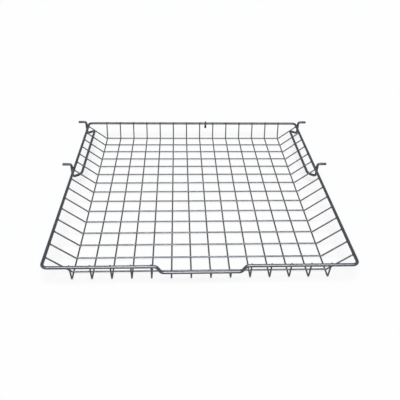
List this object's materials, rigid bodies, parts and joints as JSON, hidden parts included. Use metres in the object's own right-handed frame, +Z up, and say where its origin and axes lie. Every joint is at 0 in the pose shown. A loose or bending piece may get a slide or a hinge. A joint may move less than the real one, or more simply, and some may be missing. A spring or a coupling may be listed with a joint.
{
  "type": "dishwasher basket",
  "caption": "Shallow dishwasher basket of coated bent wire: a mesh floor with flared walls, a thick rim lowered at its front grip, and hangers whose hooks rest on side rails.",
  "frame": {"origin": "on the surface that the basket stands on, below the middle of its outline", "axes": "+X to the right, seen from the front with its lowered grip; +Y to the rear; +Z up"},
  "size_m": [0.5124, 0.4934, 0.0432],
  "materials": {
    "coated_wire": "satin grey dip coating",
    "soft_tip": "matt black"
  },
  "bodies": {
    "root": {"rim_wire": "coated_wire", "lengthwise_wire_01": "coated_wire", "lengthwise_wire_02": "coated_wire", "lengthwise_wire_03": "coated_wire", "lengthwise_wire_04": "coated_wire", "lengthwise_wire_05": "coated_wire", "lengthwise_wire_06": "coated_wire", "lengthwise_wire_07": "coated_wire", "lengthwise_wire_08": "coated_wire", "lengthwise_wire_09": "coated_wire", "lengthwise_wire_10": "coated_wire", "lengthwise_wire_11": "coated_wire", "lengthwise_wire_12": "coated_wire", "lengthwise_wire_13": "coated_wire", "lengthwise_wire_14": "coated_wire", "cross_wire_01": "coated_wire", "cross_wire_02": "coated_wire", "cross_wire_03": "coated_wire", "cross_wire_04": "coated_wire", "cross_wire_05": "coated_wire", "cross_wire_06": "coated_wire", "cross_wire_07": "coated_wire", "cross_wire_08": "coated_wire", "cross_wire_09": "coated_wire", "cross_wire_10": "coated_wire", "cross_wire_11": "coated_wire", "cross_wire_12": "coated_wire", "cross_wire_13": "coated_wire", "cross_wire_14": "coated_wire", "cross_wire_15": "coated_wire", "left_hanger": "coated_wire", "right_hanger": "coated_wire", "rear_stop_stub": "coated_wire", "rear_stop_tip": "soft_tip"}
  },
  "joints": []
}
